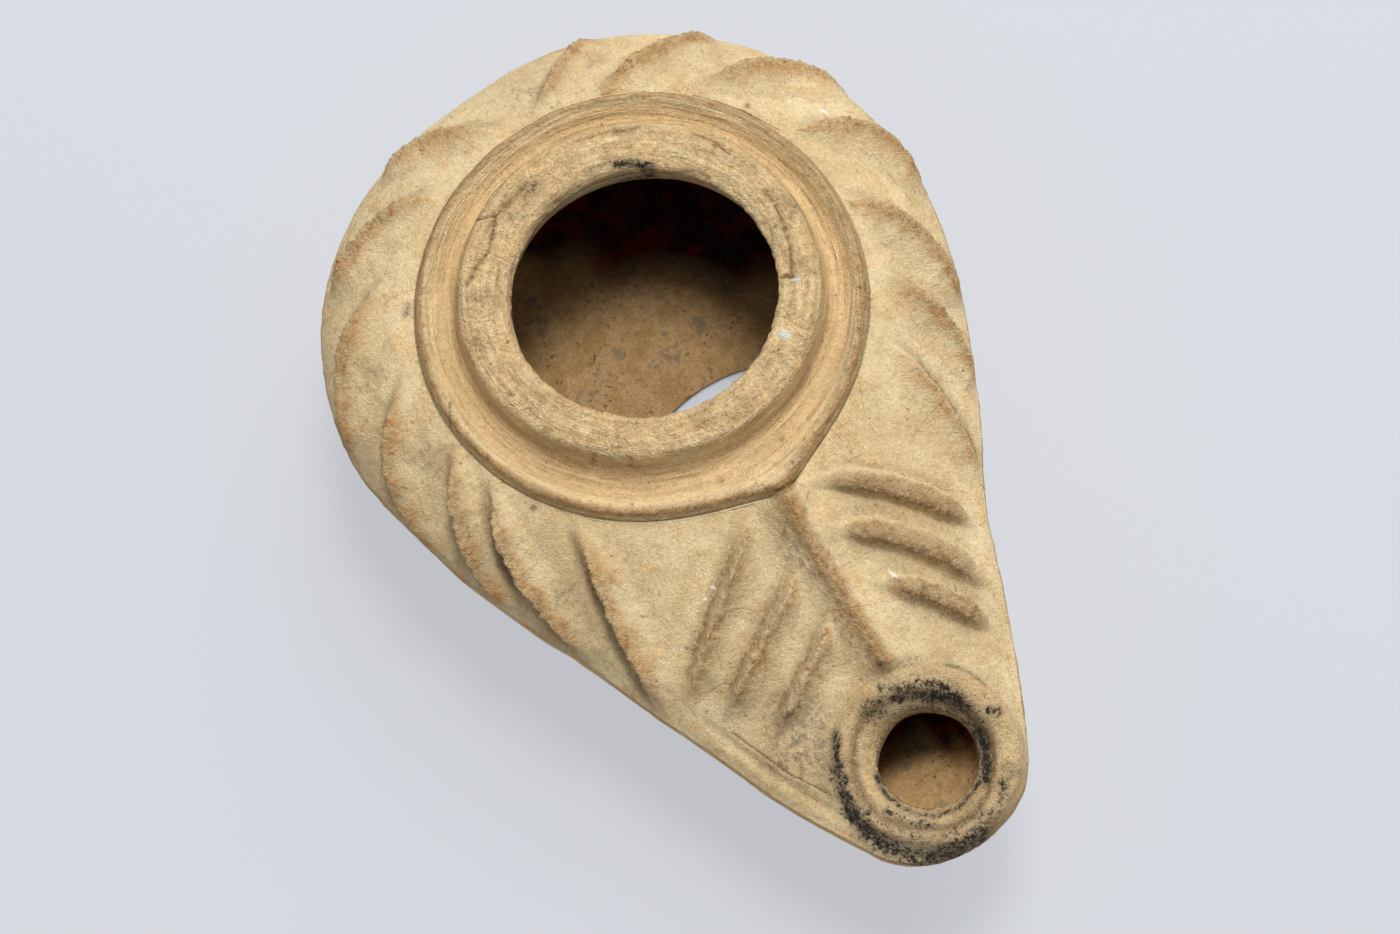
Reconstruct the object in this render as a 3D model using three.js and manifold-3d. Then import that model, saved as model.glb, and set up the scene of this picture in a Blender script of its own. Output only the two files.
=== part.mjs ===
// Mould-made oil lamp of pale fired clay: an almond-shaped body with a wide filling hole inside a
// double ring, ribs that whirl over the shoulder, a ridged nozzle with a wick hole in a raised rim,
// and an oval plaster repair on the floor of the oil chamber.
// Millimetres, +Z up, nozzle towards -Y. Plan angles run from the nozzle's side (-Y) towards +X.

import * as THREE from 'three';
import { mergeVertices } from 'three/addons/utils/BufferGeometryUtils.js';
import Module from 'manifold-3d';

const wasm = await Module();
wasm.setup();

// Plan of the body where its two moulded halves join
const bodyRadius = 32.3;
const nozzleReach = 54.0;
const nozzleRadius = 9.8;
const nozzleDrift = 1.5;

// The left flank is fuller: plan degrees over which the fullness rises and falls again
const leftFlankFullness = 0.9;
const leftFlankRise = [-50, -18];
const leftFlankFall = [-12, -4];

// Heights of the body's levels above the table
const footHeight = 1.2;
const footRecess = 0.8;
const jointHeight = 17.5;
const jointBand = 1.0;
const shoulderHeight = 25.5;

// Foot on the underside, a low ring with the plan of a smaller almond
const footRadius = 17.0;
const footReach = 15.0;
const footTipRadius = 6.0;
const footRingWidth = 2.4;

// Double ring round the filling hole
const fillHoleRadius = 13.2;
const rimRadius = 18.1;
const rimRise = 3.1;
const rimCrown = 0.5;
const channelDepth = 0.5;
const channelWidth = 1.0;
const ringRadius = 22.0;
const ringRise = 1.5;
const ringWidth = 0.9;
const ringFlank = 0.9;
const ringPeak = 2.3;
const ringPeakAngle = 5;
const ringPeakSpread = 8;

// Clay walls round the oil chamber
const wall = 3.8;
const floorThickness = 4.0;
const lipThickness = 4.6;
const lipFlare = 0.7;

// Raised rim round the wick hole
const wickHoleRadius = 5.2;
const wickRimRadius = 9.0;
const wickRimHeight = 21.4;
const wickRimRounding = 1.2;
const wickBevel = 1.3;
const wickTilt = 5;

// Ribs and ridge raised on the shoulder
const ribWidth = 3.4;
const ribHeight = 0.95;
const ribDepth = 1.1;
const ribInnerTurn = 0.22;
const ribOuterTurn = 0.9;
const ribBend = 1.7;
const ribBluntness = 0.6;
const nozzleRibs = 3;
const nozzleRibStart = 27.5;
const nozzleRibSpacing = 5.3;
const nozzleRibLength = 11.5;
const nozzleRibShortening = 1.2;
const nozzleRibOffset = 5.0;
const nozzleRibGather = 0.4;
const nozzleRibTurn = 48;
const ridgeWidth = 4.2;
const ridgeHeight = 1.2;
const ridgeOffset = 1.4;

// Each rib's plan angle beside the ring, and how far it sweeps towards the nozzle as it runs out
const rightRibs = [[177, 15], [161, 26], [136, 21], [108, 21], [83, 18], [63, 15], [46, 12]];
const leftRibs = [[171, 22], [148, 21], [121, 27], [97, 26], [78, 24], [63, 25], [42, 15]];

// Plaster repair on the chamber's floor
const patchWidth = 26.0;
const patchDepth = 20.0;
const patchThickness = 0.9;
const patchSetback = 14.3;
const patchShift = 4.1;
const beddingGap = 0.3;

// Roundness of the profiles: 2 is an ellipse, and 1 a straight slope. The shoulder and the vault
// below it straighten from the body's value to the nozzle's within a spread of degrees
const shoulderRoundness = 1.45;
const nozzleRoundness = 1.0;
const bellyRoundness = 1.75;
const vaultRoundness = 1.2;
const nozzleVaultRoundness = 0.85;
const nozzleSpread = 26;

// Facets
const bodyFacets = 80;
const chamberFacets = 44;
const patchFacets = 28;
const rimFacets = 36;
const ribFacets = 8;
const ribSteps = 7;
const shoulderSteps = 6;
const bellySteps = 5;
const chamberSteps = 5;
const nozzleCrowding = 0.72;

const clay = new THREE.MeshStandardMaterial({ color: 0xcfb083, roughness: 0.92, metalness: 0 });
const plaster = new THREE.MeshStandardMaterial({ color: 0xe4e3dc, roughness: 0.85, metalness: 0 });

const weldDistance = 1e-4;

const radians = THREE.MathUtils.degToRad;
const smooth = THREE.MathUtils.smoothstep;

// A plan angle in degrees, from -180 to 180
function signedDegrees(angle) {
  const turned = THREE.MathUtils.euclideanModulo(angle + Math.PI, 2 * Math.PI);
  return THREE.MathUtils.radToDeg(turned - Math.PI);
}

// Radius at a plan angle of the almond that wraps a large circle at the filling hole's axis
// and a small one in front of it
function almondRadius(angle, largeRadius, smallRadius, reach) {
  const turn = Math.abs(radians(signedDegrees(angle)));
  const tangent = Math.acos((largeRadius - smallRadius) / reach);
  if (turn >= tangent) return largeRadius;
  const tipSpan = Math.atan2(smallRadius * Math.sin(tangent), reach + smallRadius * Math.cos(tangent));
  if (turn > tipSpan) return largeRadius / Math.cos(tangent - turn);
  const off = reach * Math.sin(turn);
  return reach * Math.cos(turn) + Math.sqrt(smallRadius * smallRadius - off * off);
}

// The body's plan at the joint, set in by a wall where the chamber needs it
function bodyPlan(inset) {
  return (angle) => {
    const degrees = signedDegrees(angle);
    const fullness = smooth(degrees, ...leftFlankRise) * (1 - smooth(degrees, ...leftFlankFall));
    const radius = almondRadius(angle, bodyRadius - inset, nozzleRadius - inset, nozzleReach);
    return radius + leftFlankFullness * fullness;
  };
}

function footPlan(inset) {
  return (angle) => almondRadius(angle, footRadius - inset, footTipRadius - inset, footReach);
}

// The outer ring's plan, drawn out to a peak where the nozzle's ridge meets it
function ringPlan(radius) {
  return (angle) => {
    const offset = Math.abs(signedDegrees(angle) - ringPeakAngle);
    return radius + ringPeak * Math.exp(-offset / ringPeakSpread);
  };
}

function circlePlan(radius) {
  return () => radius;
}

// One level of a profile: its plan lies a share of the way from one plan to another
function level(inner, outer, share, height) {
  return (angle) => [inner(angle) + (outer(angle) - inner(angle)) * share, height];
}

// Roundness that changes round the plan, from the body's value to the nozzle's
function roundnessOf(body, nozzle) {
  return (angle) => nozzle + (body - nozzle) * (1 - Math.exp(-((signedDegrees(angle) / nozzleSpread) ** 2)));
}

// Levels of a curved wall between two plans. Turn 0 is on the inner plan at the inner height,
// and turn 1 on the outer plan at the outer height
function curvedLevels(inner, outer, innerHeight, outerHeight, roundness, turns) {
  return turns.map((turn) => (angle) => {
    const power = 2 / roundness(angle);
    const share = Math.max(Math.sin(turn * Math.PI / 2), 0) ** power;
    const rise = Math.max(Math.cos(turn * Math.PI / 2), 0) ** power;
    return level(inner, outer, share, outerHeight + (innerHeight - outerHeight) * rise)(angle);
  });
}

function steps(count, from, to) {
  return Array.from({ length: count + 1 }, (_, index) => from + (to - from) * index / count);
}

// The nozzle leans off the body's axis, so every point in front of the filling hole drifts to +X
function leaning(x, y, z) {
  return new THREE.Vector3(x + nozzleDrift * Math.max(-y / nozzleReach, 0), y, z);
}

function onPlan(angle, radius, height) {
  return leaning(radius * Math.sin(angle), -radius * Math.cos(angle), height);
}

// A closed form turned on the lathe level by level, then drawn out to each level's plan.
// Its facets crowd together at the nozzle
function drawnLathe(levels, facets) {
  const profile = levels.map((_, index) => new THREE.Vector2(1, index));
  const geometry = new THREE.LatheGeometry(profile, facets);
  const position = geometry.attributes.position;
  for (let index = 0; index < position.count; index += 1) {
    const turn = 2 * Math.PI * Math.floor(index / levels.length) / facets;
    const angle = turn - nozzleCrowding * Math.sin(turn);
    const [radius, height] = levels[index % levels.length](angle);
    const point = onPlan(angle, radius, height);
    position.setXYZ(index, point.x, point.y, point.z);
  }
  return geometry;
}

// A closed three.js geometry as a solid that can be joined and cut
function solid(geometry) {
  geometry.deleteAttribute('normal');
  geometry.deleteAttribute('uv');
  const merged = mergeVertices(geometry, weldDistance);
  const corners = merged.index.array;
  const kept = [];
  for (let index = 0; index < corners.length; index += 3) {
    const [a, b, c] = corners.slice(index, index + 3);
    if (a !== b && b !== c && c !== a) kept.push(a, b, c);
  }
  return new wasm.Manifold(new wasm.Mesh({
    numProp: 3,
    vertProperties: new Float32Array(merged.attributes.position.array),
    triVerts: new Uint32Array(kept),
  }));
}

function geometryOf(manifold) {
  const mesh = manifold.getMesh();
  const geometry = new THREE.BufferGeometry();
  geometry.setAttribute('position', new THREE.BufferAttribute(mesh.vertProperties, 3));
  geometry.setIndex(new THREE.BufferAttribute(mesh.triVerts, 1));
  return geometry;
}

const shoulderCurve = roundnessOf(shoulderRoundness, nozzleRoundness);
const bellyCurve = roundnessOf(bellyRoundness, bellyRoundness);
const vaultCurve = roundnessOf(vaultRoundness, nozzleVaultRoundness);
const jointTop = jointHeight + jointBand / 2;
const jointBottom = jointHeight - jointBand / 2;
const ringFoot = ringPlan(ringRadius + ringFlank);
const rimHeight = shoulderHeight + rimRise;

// Outside of the body with the double ring, closed across the filling hole
function bodyForm() {
  const axis = circlePlan(0);
  const outline = bodyPlan(0);
  const foot = footPlan(0);
  const recess = footPlan(footRingWidth);
  const ringTop = shoulderHeight + ringRise;
  const channelFloor = shoulderHeight + channelDepth;
  const shoulder = curvedLevels(ringFoot, outline, shoulderHeight, jointTop, shoulderCurve,
    steps(shoulderSteps, 1, 0));
  const belly = curvedLevels(foot, outline, footHeight, jointBottom, bellyCurve,
    steps(bellySteps, 0, 1));
  return solid(drawnLathe([
    level(axis, recess, 0, footRecess),
    level(axis, recess, 1, footRecess),
    level(axis, recess, 1, 0),
    level(axis, foot, 1, 0),
    ...belly,
    ...shoulder,
    level(axis, ringPlan(ringRadius), 1, ringTop),
    level(axis, ringPlan(ringRadius - ringWidth), 1, ringTop),
    level(axis, circlePlan(rimRadius + 2 * channelWidth), 1, channelFloor),
    level(axis, circlePlan(rimRadius + channelWidth), 1, channelFloor),
    level(axis, circlePlan(rimRadius), 1, rimHeight - 2 * rimCrown),
    level(axis, circlePlan(rimRadius - rimCrown), 1, rimHeight - rimCrown),
    level(axis, circlePlan((rimRadius + fillHoleRadius) / 2), 1, rimHeight),
    level(axis, circlePlan(fillHoleRadius), 1, rimHeight),
    level(axis, axis, 0, rimHeight),
  ], bodyFacets));
}

// Oil chamber with the filling hole above it, lifted off the real floor where a skin lies on it
function chamberForm(lift) {
  const axis = circlePlan(0);
  const inside = bodyPlan(wall);
  const floorPlan = footPlan(-(wall - footRingWidth));
  const hole = circlePlan(fillHoleRadius);
  const mouth = circlePlan(fillHoleRadius + lipFlare);
  const above = rimHeight + lipFlare;
  const bowl = curvedLevels(floorPlan, inside, floorThickness, jointHeight, bellyCurve,
    steps(chamberSteps, 0, 1));
  const vault = curvedLevels(hole, inside, rimHeight - lipThickness, jointHeight, vaultCurve,
    steps(chamberSteps, 1, 0)).slice(1);
  const geometry = drawnLathe([
    level(axis, floorPlan, 0, floorThickness),
    ...bowl,
    ...vault,
    level(axis, hole, 1, rimHeight - lipFlare),
    level(axis, mouth, 1, rimHeight),
    level(axis, mouth, 1, above),
    level(axis, axis, 0, above),
  ], chamberFacets);
  geometry.translate(0, 0, lift);
  return solid(geometry);
}

// Place of the wick hole's axis at a height
function wickAxis(height) {
  return leaning(0, -nozzleReach, height);
}

function turnedAtWick(profile, facets) {
  const geometry = new THREE.LatheGeometry(profile.map(([x, y]) => new THREE.Vector2(x, y)), facets);
  geometry.rotateX(Math.PI / 2);
  geometry.rotateX(radians(wickTilt));
  const place = wickAxis(wickRimHeight);
  geometry.translate(place.x, place.y, place.z);
  return solid(geometry);
}

// Raised rim of the wick hole, with a rounded outer edge. Heights count from its top
function wickRim() {
  const sunk = jointBottom - wickRimHeight;
  return turnedAtWick([
    [0, sunk],
    [wickRimRadius - wickRimRounding, sunk],
    [wickRimRadius, sunk / 2],
    [wickRimRadius, -wickRimRounding],
    [wickRimRadius - wickRimRounding / 3, -wickRimRounding / 3],
    [wickRimRadius - wickRimRounding, 0],
    [wickHoleRadius + wickBevel, 0],
    [0, 0],
  ], rimFacets);
}

// Wick hole, widened towards its top by a bevel, from above the rim down into the chamber
function wickHole() {
  const depth = wickRimHeight - jointHeight + wall / 2;
  return turnedAtWick([
    [0, -depth],
    [wickHoleRadius, -depth],
    [wickHoleRadius, -wickBevel],
    [wickHoleRadius + wickBevel, 0],
    [wickHoleRadius + wickBevel, wickBevel],
    [0, wickBevel],
  ], rimFacets);
}

// Point of the shoulder at a plan angle. Turn 0 is at the ring's foot and turn 1 at the joint
function shoulderPoint(angle, turn) {
  const [at] = curvedLevels(ringFoot, bodyPlan(0), shoulderHeight, jointTop, shoulderCurve, [turn]);
  return onPlan(angle, ...at(angle));
}

// Turn of the shoulder under a plan radius
function turnAtRadius(angle, radius) {
  const inner = ringFoot(angle);
  const share = THREE.MathUtils.clamp((radius - inner) / (bodyPlan(0)(angle) - inner), 0, 1);
  return Math.asin(share ** (shoulderCurve(angle) / 2)) / (Math.PI / 2);
}

// A bar that lies on the shoulder along a path of [plan angle, turn], pointed at both ends
function shoulderBar(path, width, height) {
  const geometry = new THREE.SphereGeometry(1, ribFacets, ribSteps);
  const position = geometry.attributes.position;
  const vertex = new THREE.Vector3();
  const nudge = 0.02;
  for (let index = 0; index < position.count; index += 1) {
    vertex.fromBufferAttribute(position, index);
    const along = (1 + vertex.y) / 2;
    const spread = Math.hypot(vertex.x, vertex.z);
    const blunt = spread > 0 ? spread ** ribBluntness / spread : 0;
    const [angle, turn] = path(along);
    const place = shoulderPoint(angle, turn);
    const ahead = shoulderPoint(...path(along + nudge)).sub(shoulderPoint(...path(along - nudge)));
    const round = shoulderPoint(angle + nudge, turn).sub(shoulderPoint(angle - nudge, turn));
    const down = shoulderPoint(angle, turn + nudge).sub(shoulderPoint(angle, turn - nudge));
    const outward = new THREE.Vector3().crossVectors(down, round).normalize();
    const across = new THREE.Vector3().crossVectors(ahead.normalize(), outward).normalize();
    const lift = vertex.z * blunt * (vertex.z > 0 ? height : ribDepth);
    place.addScaledVector(across, vertex.x * blunt * width / 2).addScaledVector(outward, lift);
    position.setXYZ(index, place.x, place.y, place.z);
  }
  return solid(geometry);
}

// A rib of the whirl: it leaves the ring steeply and then bends along the body's edge
function whirlRib(side, [startDegrees, sweepDegrees]) {
  const start = side * radians(startDegrees);
  const sweep = -side * radians(sweepDegrees);
  return shoulderBar((along) => {
    const left = Math.max(1 - along, 0);
    return [start + sweep * along, ribInnerTurn + (ribOuterTurn - ribInnerTurn) * (1 - left ** ribBend)];
  }, ribWidth, ribHeight);
}

// A short straight rib beside the nozzle's ridge, slanting forward as it runs out
function nozzleRib(side, index) {
  const turn = radians(nozzleRibTurn);
  const length = nozzleRibLength - nozzleRibShortening * index;
  const startY = -(nozzleRibStart + nozzleRibSpacing * index);
  return shoulderBar((along) => {
    const x = side * (nozzleRibOffset - nozzleRibGather * index + along * length * Math.sin(turn));
    const y = startY - along * length * Math.cos(turn);
    const angle = Math.atan2(x, -y);
    return [angle, turnAtRadius(angle, Math.hypot(x, y))];
  }, ribWidth, ribHeight);
}

// Ridge from the outer ring's peak to the wick hole's rim
function nozzleRidge() {
  const startY = -ringRadius;
  const endY = -(nozzleReach - wickRimRadius / 2);
  return shoulderBar((along) => {
    const y = startY + (endY - startY) * along;
    const angle = Math.atan2(ridgeOffset, -y);
    return [angle, turnAtRadius(angle, Math.hypot(ridgeOffset, y))];
  }, ridgeWidth, ridgeHeight);
}

function lampSolid() {
  const carving = [nozzleRidge(), wickRim()];
  rightRibs.forEach((rib) => carving.push(whirlRib(1, rib)));
  leftRibs.forEach((rib) => carving.push(whirlRib(-1, rib)));
  for (let index = 0; index < nozzleRibs; index += 1) {
    carving.push(nozzleRib(1, index), nozzleRib(-1, index));
  }
  const outside = carving.reduce((sum, piece) => sum.add(piece), bodyForm());
  return outside.subtract(chamberForm(0)).subtract(wickHole());
}

// An oval skin that follows the chamber's floor and starts to climb its wall
function patchSolid() {
  const oval = new THREE.CylinderGeometry(1, 1, 1, patchFacets);
  oval.rotateX(Math.PI / 2);
  oval.scale(patchWidth / 2, patchDepth / 2, jointHeight);
  oval.translate(patchShift, -patchSetback, jointHeight / 2);
  const underside = chamberForm(beddingGap);
  const face = chamberForm(beddingGap + patchThickness);
  return solid(oval).intersect(underside).subtract(face);
}

function named(name, geometry, material) {
  const mesh = new THREE.Mesh(geometry, material);
  mesh.name = name;
  return mesh;
}

const pieces = new THREE.Group();
pieces.add(named('lamp', geometryOf(lampSolid()), clay));
pieces.add(named('plaster_patch', geometryOf(patchSolid()), plaster));

// The origin is at the middle of the lamp's underside
const box = new THREE.Box3().setFromObject(pieces, true);
const middle = box.getCenter(new THREE.Vector3());
pieces.position.set(-middle.x, -middle.y, -box.min.z);

const part = new THREE.Group();
part.add(pieces);

export default part;
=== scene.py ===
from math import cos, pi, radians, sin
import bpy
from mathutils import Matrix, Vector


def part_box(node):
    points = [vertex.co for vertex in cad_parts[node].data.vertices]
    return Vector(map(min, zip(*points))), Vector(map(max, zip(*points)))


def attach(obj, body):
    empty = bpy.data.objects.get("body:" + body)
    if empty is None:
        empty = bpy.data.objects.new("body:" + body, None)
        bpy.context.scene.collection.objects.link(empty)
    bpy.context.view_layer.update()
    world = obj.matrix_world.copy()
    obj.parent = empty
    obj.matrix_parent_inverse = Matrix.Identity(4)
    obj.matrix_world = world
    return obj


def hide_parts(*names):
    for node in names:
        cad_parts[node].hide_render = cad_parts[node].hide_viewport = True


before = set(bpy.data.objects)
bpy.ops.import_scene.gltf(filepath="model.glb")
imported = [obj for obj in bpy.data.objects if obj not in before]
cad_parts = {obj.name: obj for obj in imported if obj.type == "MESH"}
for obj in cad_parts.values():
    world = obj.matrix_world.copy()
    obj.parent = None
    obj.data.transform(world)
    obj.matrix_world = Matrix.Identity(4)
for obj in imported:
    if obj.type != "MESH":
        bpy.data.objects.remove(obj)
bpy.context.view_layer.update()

# A mould-made oil lamp of cream-buff clay, seen from above on a pale table. The clay is one closed
# form: it is turned on the axis of the filling hole, drawn out to the almond plan, and then the
# ribs, the ridge, the wick rim, the wear and the chips are worked into its surface.
# Shapes are worked out in millimetres from the filling hole's axis, with the nozzle towards -Y.
# Plan angles run from the nozzle's side towards +X.

from types import SimpleNamespace

import bmesh
import bpy
import numpy as np
from mathutils import Matrix, Vector, noise

# Plan of the body where its two moulded halves join
BODY_RADIUS = 32.3
NOZZLE_REACH = 54.0
NOZZLE_RADIUS = 9.8
NOZZLE_DRIFT = 1.5

# Heights above the table
FOOT_HEIGHT = 1.2
FOOT_RECESS = 0.8
JOINT_HEIGHT = 17.5
JOINT_BAND = 1.0
SHOULDER_LOW = JOINT_HEIGHT + JOINT_BAND / 2
SHOULDER_HEIGHT = 25.5
RIM_HEIGHT = 28.5

# Foot
FOOT_RADIUS = 17.0
FOOT_REACH = 15.0
FOOT_TIP_RADIUS = 6.0
FOOT_RING_WIDTH = 2.4

# Rings round the filling hole
HOLE_RADIUS = 13.2
RING_RADIUS = 22.0
RING_FLANK = 0.9
RING_PEAK = 2.3
RING_PEAK_ANGLE = 5.0
RING_PEAK_SPREAD = 8.0

# Walls round the oil chamber
WALL = 3.8
FLOOR = 4.0
LIP = 4.6

# Wick hole and its rim
WICK_HOLE_RADIUS = 4.85
WICK_RIM_RADIUS = 9.0
WICK_RIM_HEIGHT = 21.3
WICK_TILT = 5.0
WICK_AXIS = (1.65, -53.8)
DISH_RADIUS = 6.85
DISH_SHIFT = 0.85

# Roundness of the profiles: 2 is an ellipse, and 1 a straight slope
SHOULDER_ROUNDNESS = 1.45
NOZZLE_ROUNDNESS = 1.0
BELLY_ROUNDNESS = 1.75
VAULT_ROUNDNESS = 1.2
NOZZLE_VAULT_ROUNDNESS = 0.85
NOZZLE_SPREAD = 26.0

# Columns of the turned form, and how far they crowd together at the nozzle
COLUMNS = 436
CROWDING = 0.42

# The filling hole's axis in the frame, from the model's box
HOLE_ASIDE = -0.154
lamp_low, lamp_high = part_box("lamp")
HOLE_AXIS = np.array((HOLE_ASIDE, lamp_low[1] * 1000 + NOZZLE_REACH + NOZZLE_RADIUS, 0.0))


def in_frame(points):
    """Points in the frame, in metres, from millimetres at the filling hole's axis."""
    return (np.asarray(points, float) + HOLE_AXIS) / 1000


def smooth(value, start, end):
    """Rises smoothly from 0 at start to 1 at end."""
    share = np.clip((value - start) / (end - start), 0, 1)
    return share * share * (3 - 2 * share)


def bump(value, middle, spread):
    """A soft hump, 1 at its middle."""
    return np.exp(-(((value - middle) / spread) ** 2))


def signed_degrees(angle):
    return np.degrees((angle + pi) % (2 * pi) - pi)


def grain(points, size, octaves, seed):
    """Soft lumps of a size, from -1 to 1, the same on each run."""
    shift = Vector((seed, 2.3 * seed, -1.7 * seed))
    return np.array([
        noise.fractal(Vector(point) / size + shift, 1.0, 2.0, octaves) for point in points.tolist()
    ])


def spline(controls, along):
    """Uniform B-spline through the turning profile's control points."""
    controls = np.asarray(controls, float)
    held = np.vstack([controls[:1], controls[:1], controls, controls[-1:], controls[-1:]])
    place = np.clip(along, 0, 1) * (len(controls) + 1)
    first = np.minimum(place.astype(int), len(controls))
    part = (place - first)[:, None]
    weights = (
        (1 - part) ** 3,
        3 * part ** 3 - 6 * part ** 2 + 4,
        -3 * part ** 3 + 3 * part ** 2 + 3 * part + 1,
        part ** 3,
    )
    return sum(weight * held[first + index] for index, weight in enumerate(weights)) / 6


# Plans of the body


def almond(angle, large, small, reach):
    """Radius of the almond that wraps a large circle at the axis and a small one in front."""
    turn = np.abs(np.radians(signed_degrees(angle)))
    tangent = np.arccos((large - small) / reach)
    tip = np.arctan2(small * np.sin(tangent), reach + small * np.cos(tangent))
    flank = large / np.cos(np.minimum(np.abs(tangent - turn), 1.4))
    off = reach * np.sin(turn)
    front = reach * np.cos(turn) + np.sqrt(np.maximum(small * small - off * off, 0))
    return np.where(turn >= tangent, large, np.where(turn > tip, flank, front))


# Where the mould is fuller or flatter than the almond: plan degrees, spread, millimetres
OUTLINE_WOBBLE = (
    (-44, 18, 0.5), (-26, 9, 0.9), (-14, 7.5, 1.75), (0.5, 7, -0.6), (28, 10, -1.0),
    (76, 14, -0.55), (-76, 12, -0.75), (-122, 17, 0.5), (-172, 17, -1.0), (188, 17, -1.0),
)
OUTLINE_SETBACK = 0.25
OUTLINE_SHIFT = -0.5


def body_plan(angle, inset=0.0):
    degrees = signed_degrees(angle)
    radius = almond(angle, BODY_RADIUS - inset, NOZZLE_RADIUS - inset, NOZZLE_REACH)
    radius = radius - OUTLINE_SETBACK + OUTLINE_SHIFT * np.sin(angle)
    return radius + sum(size * bump(degrees, at, spread) for at, spread, size in OUTLINE_WOBBLE)


def foot_plan(angle, inset=0.0):
    return almond(angle, FOOT_RADIUS - inset, FOOT_TIP_RADIUS - inset, FOOT_REACH)


def ring_peak(angle, softness=6.0):
    """How far the outer ring is drawn out towards the nozzle's ridge."""
    offset = signed_degrees(angle) - RING_PEAK_ANGLE
    soft = np.sqrt(offset ** 2 + softness)
    return RING_PEAK * np.exp(-soft / RING_PEAK_SPREAD)


def roundness(angle, body, nozzle):
    """A profile's roundness, which changes from the body's to the nozzle's."""
    return nozzle + (body - nozzle) * (1 - bump(signed_degrees(angle), 0, NOZZLE_SPREAD))


def curve(along, power):
    """Share and rise of a rounded wall: along 0 is its inner edge, and 1 its outer edge."""
    quarter = np.clip(along, 0, 1) * pi / 2
    return np.sin(quarter) ** (2 / power), np.maximum(np.cos(quarter), 0) ** (2 / power)


def leaning(radius, angle, height):
    """Points on the plan. The nozzle leans off the body's axis towards +X."""
    y = -radius * np.cos(angle)
    x = radius * np.sin(angle) + NOZZLE_DRIFT * np.maximum(-y / NOZZLE_REACH, 0)
    return np.stack([x, y, height + 0 * x], axis=1)


def plan_angle(x, y):
    """Plan angle and radius of a place, with the lean taken out."""
    upright = x - NOZZLE_DRIFT * np.maximum(-y / NOZZLE_REACH, 0)
    return np.arctan2(upright, -y), np.hypot(upright, y)


# The turned profile, section by section from the underside's middle over the shoulder and down to
# the middle of the chamber's floor. Each takes plan angles and a share along the section, and
# gives radii and heights


def shoulder_edges(angle):
    """Radius at the ring and at the joint, and the roundness between them."""
    inner, outer = RING_RADIUS + RING_FLANK + ring_peak(angle), body_plan(angle)
    return inner, outer, roundness(angle, SHOULDER_ROUNDNESS, NOZZLE_ROUNDNESS)


def bowl_edges(angle):
    return foot_plan(angle, FOOT_RING_WIDTH - WALL), body_plan(angle, WALL)


def underside(angle, along):
    return foot_plan(angle, FOOT_RING_WIDTH) * along, FOOT_RECESS + 0 * along


# Control points of the foot ring: distance outwards, height
FOOT_RING = (
    (-0.1, 0.8), (0.0, 0.35), (0.25, 0.02), (0.6, 0), (1.2, 0), (1.9, 0), (2.2, 0.1), (2.4, 0.5),
    (2.4, 1.2),
)


def foot_ring(angle, along):
    offset, height = spline(FOOT_RING, along).T
    return foot_plan(angle, FOOT_RING_WIDTH - offset), height


def belly(angle, along):
    share, rise = curve(along, BELLY_ROUNDNESS)
    inner, outer = foot_plan(angle), body_plan(angle)
    top = JOINT_HEIGHT - JOINT_BAND / 2
    return inner + (outer - inner) * share, top + (FOOT_HEIGHT - top) * rise


def joint(angle, along):
    bead = 0.12 * np.sin(pi * along)
    return body_plan(angle) + bead, JOINT_HEIGHT + JOINT_BAND * (along - 0.5)


def shoulder(angle, along):
    inner, outer, power = shoulder_edges(angle)
    share, rise = curve(1 - along, power)
    return inner + (outer - inner) * share, SHOULDER_LOW + (SHOULDER_HEIGHT - SHOULDER_LOW) * rise


# Control points of the two rings: radius, share of the ring's peak, height
COLLAR = (
    (22.9, 1, 25.5), (22.78, 1, 25.5), (22.62, 1, 25.52), (22.46, 1, 25.72), (22.3, 1, 26.15),
    (22.0, 1, 26.65), (21.5, 1, 26.75), (21.0, 0.9, 26.35), (20.55, 0.7, 25.65), (19.9, 0.4, 25.3),
    (19.1, 0.2, 25.25), (18.5, 0.05, 25.5), (18.15, 0, 26.4), (18.05, 0, 27.2), (17.9, 0, 27.85),
    (17.35, 0, 28.2), (16.3, 0, 28.28), (15.2, 0, 28.32), (14.3, 0, 28.28), (13.6, 0, 28.2),
    (13.25, 0, 27.95), (13.2, 0, 27.4), (13.25, 0, 27.0),
)
COLLAR_ROWS = 50
NECK_FLARE = 0.75
RING_OVAL = -0.22
RING_OVAL_TURN = radians(60)


def collar(angle, along):
    radius, share, height = spline(COLLAR, along).T
    oval = RING_OVAL * share * np.cos(2 * (angle - RING_OVAL_TURN))
    return radius + share * ring_peak(angle, 6 + 90 * (1 - share)) + oval, height


def collar_row(control):
    """The row of points next to a control point of the rings."""
    return STARTS[5] + COLLAR_ROWS * (control + 1) / (len(COLLAR) + 1)


def neck(angle, along):
    low = RIM_HEIGHT - LIP
    top = COLLAR[-1][2]
    return COLLAR[-1][0] + NECK_FLARE * along, top + (low - top) * along


def vault(angle, along):
    share, rise = curve(along, roundness(angle, VAULT_ROUNDNESS, NOZZLE_VAULT_ROUNDNESS))
    inside = body_plan(angle, WALL)
    low = RIM_HEIGHT - LIP
    throat = COLLAR[-1][0] + NECK_FLARE
    return throat + (inside - throat) * share, JOINT_HEIGHT + (low - JOINT_HEIGHT) * rise


def bowl(angle, along):
    share, rise = curve(1 - along, BELLY_ROUNDNESS)
    inner, outer = bowl_edges(angle)
    return inner + (outer - inner) * share, JOINT_HEIGHT + (FLOOR - JOINT_HEIGHT) * rise


def chamber_floor(angle, along):
    return foot_plan(angle, FOOT_RING_WIDTH - WALL) * (1 - along), FLOOR + 0 * along


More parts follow.
